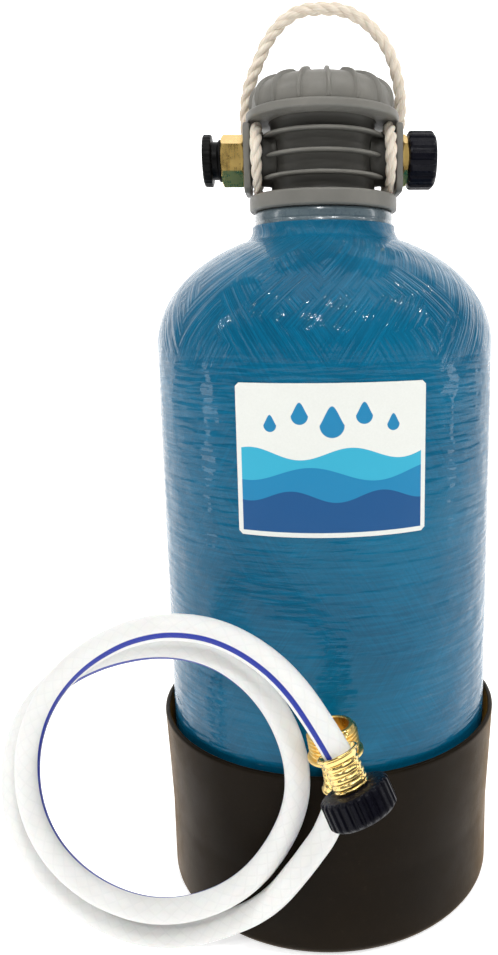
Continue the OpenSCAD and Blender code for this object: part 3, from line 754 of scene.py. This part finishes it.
def rope(name, node, body, lines, radii, lay=25.0, sides=54):
    """Three-strand rope along each line, with a list of radii along it; lay is the length of one turn."""
    parts, uvs = [], []
    for line, radius in zip(lines, radii):
        turns = along_line(line) / lay
        size = np.interp(np.linspace(0, 1, len(line)), np.linspace(0, 1, len(radius)), radius)

        def strands(i, a, size=size, turns=turns):
            near = (a + TAU / 6) % (TAU / 3) - TAU / 6
            out, strand = 0.43, 0.57
            r = out * np.cos(near) + np.sqrt(strand**2 - (out * np.sin(near)) ** 2)
            yarn = 0.016 * np.cos(19 * (a + TAU * turns[i]))
            return size[i] * (r + yarn - 0.016)
        v, f = tube_mesh(line, strands, sides, TAU * turns)
        parts.append((v, f))
        uvs.append(np.stack([np.repeat(turns, sides), np.tile(np.arange(sides) / sides, len(line))], 1))
    v, f = joined(*parts)
    return make(name, v, f, body, MAT["rope"], uv=np.concatenate(uvs), replaces=(node,),
                sharp=70)


lift = np.array([0, 0, NECK])
arch_line = smooth([np.array(p) + lift for p in ARCH], 0.9)
arch = rope("rope_handle", "rope_arch", "handle", [arch_line], [[ROPE_R] * 2])

right_side = smooth([np.array(p) + lift for p in LASH], 0.9)
lash_size = [3.0, 3.0, 3.0, 2.95, 2.9, 2.9, 2.95, 3.3, 3.65, 3.7, 3.6, 3.2, 2.9, 2.85, 2.9, 3.2, 3.5, 3.5,
             3.4]
rope("rope_lashing_turns", "rope_lashing", "head", [right_side, right_side * (-1, 1, 1)], [lash_size] * 2)

knot = []
for k in range(70):
    t = k / 69
    a = TAU * (2.35 * t + 0.1)
    knot.append((-4.6 + 9.2 * t, KNOT_Y + 4.2 * math.cos(a), NECK + 33 + 4.2 * math.sin(a)))
core = [(-7.4, KNOT_Y - 1.5, NECK + 33), (-3, KNOT_Y, NECK + 33.4), (3, KNOT_Y - 0.1, NECK + 32.6),
        (7.4, KNOT_Y - 1.5, NECK + 33)]
rope("rope_knot_turns", "rope_knot", "head", [smooth(knot, 0.8), smooth(core, 0.8)], [[3.1] * 2, [2.9] * 2])

# ---- boot and tank ------------------------------------------------------


def boot_wall(a, row, r, z):
    """The wall bows in a little in three places, as soft rubber does."""
    return r - 0.12 * (1 + np.sin(3 * a + z * 0.05)) if r > 106 else np.full(len(a), r)


profile = [(2, 0), (60, 0), (98, 0), (101.5, 0.0)] + arc(101.5, 6, 6, 6, -90, 0, 10)
profile += [(107.5, z) for z in np.arange(9, 50, 4.0)]
profile += [(107.5 + (z - 50) * 0.0415, z) for z in np.arange(50, 112, 4.0)]
profile += [(110.1, 112.6), (110.2, 113.6)] + arc(108.6, 114.4, 1.6, 1.6, 0, 180, 12)
profile += [(106.95, 112), (105.9, 90), (104.5, 50), (104.5, 30)]
profile += arc(80.5, 28, 24, 24, 0, -90, 10) + [(40, 4), (2, 4)]
v, f = lathe(profile, 256, boot_wall, closed=False)
make("boot_shell", v, f, "tank", MAT["boot_rubber"], replaces=("boot",), sharp=50)

profile = []
for i in range(15):
    a = math.radians(-86 + 86 * i / 15)
    profile.append((TANK_R * math.cos(a), LOW_Z + 66 * math.sin(a)))
profile += [(TANK_R, z) for z in np.arange(LOW_Z, HIGH_Z, 0.9)]
for i in range(75):
    a = math.radians(60 * i / 74)
    profile.append((TANK_R * math.cos(a), HIGH_Z + 71 * math.sin(a)))
dome_rows = len(profile)
profile += arc(52.7, 420.5, 9, 9, 240, 180, 9) + [(43.75, 421.2), (43.5, 421.8), (43.1, 422), (42.62, 422)]
profile += [(42.62, 400.0)]
for i in range(20, -1, -1):
    a = math.radians(56 * i / 20)
    profile.append(((TANK_R - 3) * math.cos(a), HIGH_Z + 68 * math.sin(a)))
profile += [(TANK_R - 3, LOW_Z), (60, 20.0), (7.4, 8.2)]

counts, starts, heights = rng.integers(2, 15, 10), rng.uniform(0, TAU, 10), rng.uniform(0.01, 0.06, 10)
waves = [(int(k), p, h) for k, p, h in zip(counts, starts, heights)]


def wound(a, row, r, z):
    """The layers of tape: hoops on the wall and crossing bands on the dome, pressed in from the outline."""
    if row < 14 or row >= dome_rows:
        return np.full(len(a), r)
    p = (z / BAND - a / TAU) % 1
    hoop = 0.13 * np.clip(p / 0.86, 0, 1) * np.clip((1 - p) / 0.14, 0, 1)
    rise = max(0.0, z - HIGH_Z)
    lean = rise * 0.006 + rise * rise * 0.00007
    family = []
    for way in (1, -1):
        q = ((a + way * lean) / TAU * 26) % 1
        family.append(np.clip(q / 0.8, 0, 1) * np.clip((1 - q) / 0.2, 0, 1))
    cross = 0.2 * np.maximum(family[0], family[1] * 0.96)
    mix = min(1, max(0, (z - HIGH_Z + 9) / 18))
    swell = sum(h * (1 + np.sin(k * a + s + z * 0.021 * (k % 5 - 2))) for k, s, h in waves) * 0.5
    edge = min(1, (dome_rows - row) / 5)
    return r - edge * ((1 - mix) * (0.13 - hoop) + mix * (0.2 - cross) + swell * (0.3 + 0.7 * mix))


v, f = lathe(profile, 360, wound, closed=True)
make("tank_skin", v, f, "tank", MAT["wound_resin"], replaces=("tank_winding",), sharp=50)

profile = [(36.3, 398.2), (51.5, 398), (52, 398.5), (52, 400.6), (51.5, 401), (43, 401), (42.5, 401.6),
           (42.5, 412), (42.5, 421), (42.4, 423.6), (42.15, 423.9), (42.15, 424.5), (42.4, 424.8),
           (42.45, 427.2), (42.3, 428.8), (41.8, 429.7), (41.1, 430), (38.2, 430), (37.2, 429.8),
           (36.2, 428.9)]
thread_from = len(profile)
profile += [(36.05, z) for z in np.arange(428.4, 400, -0.3)]


def female(a, row, r, z):
    """The neck's inner thread."""
    if row < thread_from:
        return np.full(len(a), r)
    return r + 1.2 * ring_wave((z / NECK_PITCH - a / TAU) % 1, 0.3, 0.7)


v, f = lathe(profile, 200, female)
make("neck_ring", v, f, "tank", MAT["collar"], replaces=("neck_collar",))


def label():
    """A thin sheet bent round the tank, with rounded corners."""
    cols, rows, corner = 90, 44, 2.2
    low, high, outer, inner = LABEL_LOW, LABEL_HIGH, TANK_R + 0.29, TANK_R + 0.06
    grid = []
    for r in (outer, inner):
        for j in range(rows):
            t = j / (rows - 1)
            z = low + (high - low) * t
            d = min(z - low, high - z)
            cut = corner - math.sqrt(max(0, corner**2 - (corner - d) ** 2)) if d < corner else 0
            span = LABEL_HALF - cut / TANK_R
            for i in range(cols):
                a = -math.pi / 2 - span + 2 * span * i / (cols - 1)
                grid.append((r * math.cos(a), r * math.sin(a), z))
    n = rows * cols
    faces = grid_faces(rows, cols, wrap_cols=False)
    faces += [[k + n for k in q[::-1]] for q in faces]
    rim = list(range(cols)) + [j * cols + cols - 1 for j in range(1, rows)]
    rim += [(rows - 1) * cols + i for i in range(cols - 2, -1, -1)]
    rim += [j * cols for j in range(rows - 2, 0, -1)]
    for k in range(len(rim)):
        a, b = rim[k], rim[(k + 1) % len(rim)]
        faces.append([b, a, a + n, b + n])
    make("label", grid, faces, "tank", MAT["label"], replaces=("label_sheet",), sharp=50)


label()

# ---- head ---------------------------------------------------------------

profile = [(HEAD_BORE, 406), (33.2, 406), (34.2, 407.3)]
thread_from = len(profile)
profile += [(34.2, z) for z in np.arange(407.5, 427.4, 0.3)]
thread_to = len(profile)
profile += [(34.2, 430.4), (37.3, 430.4), (37.3, 434.1), (41.3, 434.1), (41.3, 430.3), (43.2, 430.3)]
profile += arc(43.4, 431.9, 1.6, 1.6, -85, 0, 6) + arc(43.4, 437.9, 1.6, 1.6, 0, 90, 6)
profile += [(38, SEAT_TOP), (33, SEAT_TOP), (HEAD_BORE, SEAT_TOP)]


def spigot(a, row, r, z):
    """The head's outer thread, running out at both ends."""
    if not thread_from <= row < thread_to:
        return np.full(len(a), r)
    fade = min(1, (z - 407.2) / 1.2) * min(1, max(0, (427.5 - z) / 1.2))
    return r + 1.3 * fade * ring_wave((z / NECK_PITCH - a / TAU) % 1, 0.3, 0.7)


v, f = lathe(profile, 200, spigot)
make("head_seat_flange", v, f, "head", MAT["grey"], replaces=("head_seat",))

profile = [(HEAD_BORE, SEAT_TOP + 0.1), (33.4, SEAT_TOP + 0.1), (32.3, 440.1), (31.7, 441.2), (31.5, 443)]
for k in (1, 2, 3):
    z = SEAT_TOP + 11.9 * k - 2.8
    profile += [(31.5, z - 1.6), (31.7, z - 0.5), (32.4, z)] + arc(36.7, z + 0.8, 0.8, 0.8, -90, 0, 5)
    profile += arc(36.7, z + 1.0, 0.8, 0.8, 0, 90, 5) + [(32.4, z + 1.8), (31.7, z + 2.3), (31.5, z + 3.4)]
profile += [(31.5, 479.6), (31.8, 481), (32.6, GRIP_LOW - 0.1), (HEAD_BORE, GRIP_LOW - 0.1)]
shapes = [lathe(profile, 180)]
riser_socket = [(13.65, 406), (18.4, 406), (19, 406.8), (19, 478), (0.6, 478), (0.6, 475), (10, 475),
                (10, 444), (13.65, 441)]
shapes.append(lathe(riser_socket, 96))


def slab(width, height, corner, x0, x1, edge=0.9):
    """A rounded plate with softened edges, drawn along +Z from x0 to x1."""
    rows = []
    for z, inset in ((x0, edge), (x0 + edge * 0.3, edge * 0.3), (x0 + edge, 0), (x1 - edge, 0),
                     (x1 - edge * 0.3, edge * 0.3), (x1, edge)):
        w, h, c = width / 2 - inset, height / 2 - inset, corner - inset * 0.5
        ring = []
        for sx, sy, start in ((1, 1, 0), (-1, 1, 90), (-1, -1, 180), (1, -1, 270)):
            for k in range(9):
                t = math.radians(start + 90 * k / 8)
                ring.append((sx * (w - c) + c * math.cos(t), sy * (h - c) + c * math.sin(t), z))
        rows.append(ring)
    n = len(rows[0])
    return np.array([p for ring in rows for p in ring]), grid_faces(len(rows), n) + end_caps(len(rows), n)


def put(shape, moved):
    """A shape turned and shifted by a pair from pointing() or sideways()."""
    return np.asarray(shape[0], float) @ np.array(moved[0]).T + np.array(moved[1]), shape[1]


port_tube = [(12, 20), (17.5, 28), (16.2, 29.6), (15.4, 31.4), (15, 34), (15, 42.4), (15.3, 43.2), (16, 43.5),
             (12, 43.5)]
for flip in (False, True):
    tube = lathe(port_tube, 96)
    # in a slab's own frame X points down, so its height comes first
    shapes += [put(tube, sideways(0, flip)), put(slab(40, 30, 5, 43.4, 47.4), sideways(0, flip))]
v, f = joined(*shapes)
make("head_waist", v, f, "head", MAT["waist"], replaces=("head_housing",), sharp=40)


def grip():
    """The ribbed cap that the hand turns."""
    cols, ribs, power = 768, 16, 3.3
    a = np.arange(cols) * TAU / cols
    p = ((a - math.radians(3.5)) / TAU * ribs + 0.5) % 1 - 0.5
    rows = []
    crown = GRIP_LOW + 5
    flange = [(HEAD_BORE, GRIP_LOW), (40, GRIP_LOW)]
    flange += arc(44.6, 483.4, 1.4, 1.4, -90, 0, 6) + arc(44.6, 485.6, 1.4, 1.4, 0, 90, 6)
    for r, z in flange:
        rows.append((np.full(cols, r), np.full(cols, z)))
    rows.append((np.full(cols, 44.0), np.full(cols, crown)))
    steps = 44
    for i in range(steps + 1):
        t = math.radians(89.2 * i / steps)
        c, s = math.cos(t) ** (2 / power), math.sin(t) ** (2 / power)
        low = np.array([42.5 * c, crown + 20.2 * s])
        high = np.array([44.3 * c, crown + 22.0 * s])
        offset = np.abs(p) * TAU / ribs * max(high[0], 1)
        rib = np.clip((1.45 - offset) / 0.75, 0, 1)
        rib = rib * rib * (3 - 2 * rib)
        rib *= min(1, max(0, (high[0] - 22.5) / 3.5))
        rib *= min(1, 0.25 + i / 2)
        rows.append((low[0] + (high[0] - low[0]) * rib, low[1] + (high[1] - low[1]) * rib))
    rows.append((np.full(cols, 0.5), np.full(cols, 507.2)))
    rows.append((np.full(cols, 0.5), np.full(cols, crown + 15)))
    rows.append((np.full(cols, HEAD_BORE), np.full(cols, crown + 15)))
    verts = np.concatenate([np.stack([r * np.cos(a), r * np.sin(a), z], 1) for r, z in rows])
    make("grip_cap", verts, grid_faces(len(rows), cols, wrap_rows=True), "head", MAT["grey"],
         replaces=("head_grip",), sharp=60)


grip()

# ---- fittings on the ports ----------------------------------------------


def hexed(first, last, x0, x1):
    """Rows first..last of a turned profile become a hexagon with turned corners."""
    def shape(a, row, r, z):
        if not first <= row < last:
            return np.full(len(a), r)
        flat = HEX / 2 / np.cos((a % (TAU / 6)) - TAU / 12)
        limit = min(HEX / 2 + 0.25 + min(z - x0, x1 - z) * 2.0, 15.3)
        return np.minimum(flat, limit)
    return shape


def hex_rows(x0, x1):
    """Rows of a profile for hexed() to shape, closer together near both faces."""
    step = [0, 0.3, 0.6, 0.9, 1.2]
    middle = list(np.arange(x0 + 2, x1 - 1.9, 1.6))
    return [(14, x0 + s) for s in step] + [(14, m) for m in middle] + [(14, x1 - s) for s in reversed(step)]


profile = [(8.5, 33.2), (12.6, 33.2), (13.1, 34), (13.1, 47.3)]
first = len(profile)
profile += hex_rows(HEX_X, INLET_X)
last = len(profile)
profile += [(10.9, 51.15), (10.8, 51.5), (10.8, 54.6), (12.9, 54.7), (13.0, 54.9), (13.0, 56.5), (12.8, 56.7),
            (8.5, 56.7)]
v, f = lathe(profile, 192, hexed(first, last, HEX_X, INLET_X))
make("inlet_hexagon", v, f, "head", MAT["brass"], replaces=("inlet_tailpiece",),
     moved=sideways(0), sharp=30)

profile = [(9.6, 33.2), (12.6, 33.2), (13.1, 34), (13.1, 47.3)]
first = len(profile)
profile += hex_rows(HEX_X, PLUG_X)
last = len(profile)
profile += [(12.3, PLUG_X), (11.6, 60.7), (11.2, 60.2), (11.2, 57.5), (10.6, 57.3), (10.6, 48.5), (9.6, 48)]
v, f = lathe(profile, 192, hexed(first, last, HEX_X, PLUG_X))
make("outlet_hexagon", v, f, "head", MAT["brass"], replaces=("outlet_adapter",),
     moved=sideways(0, True), sharp=30)

swivel_nut("inlet_nut", "inlet_swivel_nut", "inlet_nut", 17.0, 16.5, 14, 10.8, 8.2, sideways(51.4), 504)

outline = [(0.6, -2.8), (10.5, -3), (10.9, 0.3), (12.1, 0.3), (12.1, 1.6), (10.9, 2.2), (10.9, 5.8),
           (14.4, 5.8), (15, 6.4), (15, 10.2), (14.2, 11), (6, 11), (5, 9), (0.6, 9)]
profile = rounded(outline, [0, 0.8, 0.2, 0.4, 0.4, 0.7, 0.7, 0.5, 0.5, 0.7, 0.7, 0.6, 0.8, 0], 5)


def pull_flange(a, row, r, z):
    """Shallow finger scallops round the plug's rim."""
    if r < 14:
        return np.full(len(a), r)
    return r - 0.22 * (1 - np.cos(30 * a)) / 2


v, f = lathe(profile, 240, pull_flange)
make("outlet_cap", v, f, "outlet_plug", MAT["vinyl"], replaces=("outlet_plug",),
     moved=sideways(-PLUG_X, True), sharp=45)

# ---- floor and light ----------------------------------------------------

FLOOR_GLOW, WALL_GLOW, WORLD_GLOW = 0.55, 1.0, 0.12
bpy.context.scene.view_settings.view_transform = "Standard"  # keeps the plain paper white


def backdrop(name, place, turn, size, glow):
    """A plain pale plane, lit a little from within like studio paper."""
    bpy.ops.mesh.primitive_plane_add(size=size, location=place, rotation=turn)
    ob = bpy.context.object
    ob.name = name
    paper = Surface(name + "_paper", (0.93, 0.93, 0.93), 0.9, emission_strength=glow)
    paper.shader.inputs["Emission Color"].default_value = (1, 1, 1, 1)
    grain = paper.noise(paper.place(), 40.0, 3.0)
    paper.use(base_color=paper.blend(grain, (0.92, 0.92, 0.92), (0.94, 0.94, 0.94)))
    ob.data.materials.append(paper.material)


backdrop("floor", (0, 0, 0), (0, 0, 0), 12, FLOOR_GLOW)
backdrop("wall", (0, 4, 4), (math.pi / 2, 0, 0), 12, WALL_GLOW)

world = bpy.data.worlds.new("studio")
world.use_nodes = True
world.node_tree.nodes["Background"].inputs["Color"].default_value = (1, 1, 1, 1)
world.node_tree.nodes["Background"].inputs["Strength"].default_value = WORLD_GLOW
bpy.context.scene.world = world


def soft_light(name, place, target, width, height, watts):
    """A rectangular lamp aimed at a place."""
    data = bpy.data.lights.new(name, "AREA")
    data.shape, data.size, data.size_y, data.energy = "RECTANGLE", width, height, watts
    ob = bpy.data.objects.new(name, data)
    ob.location = place
    ob.rotation_euler = (Vector(target) - Vector(place)).to_track_quat("-Z", "Y").to_euler()
    bpy.context.scene.collection.objects.link(ob)


soft_light("overhead", (0.0, -0.6, 3.0), (0, 0, 0.3), 3.0, 2.0, 34)
soft_light("front_lamp", (-0.25, -1.75, 1.75), (0, 0, 0.37), 0.26, 0.012, 11)
soft_light("second_lamp", (0.55, -1.6, 2.1), (0, 0, 0.37), 0.24, 0.012, 10)
soft_light("left_lamp", (-1.6, -0.7, 2.0), (0, 0, 0.37), 0.012, 0.24, 10)
soft_light("right_lamp", (1.7, -0.5, 2.0), (0, 0, 0.37), 0.012, 0.24, 10)
soft_light("left_strip", (-2.0, -0.2, 0.7), (0, 0, 0.3), 0.2, 1.4, 4)
soft_light("right_strip", (2.0, -0.1, 0.7), (0, 0, 0.3), 0.2, 1.4, 4)
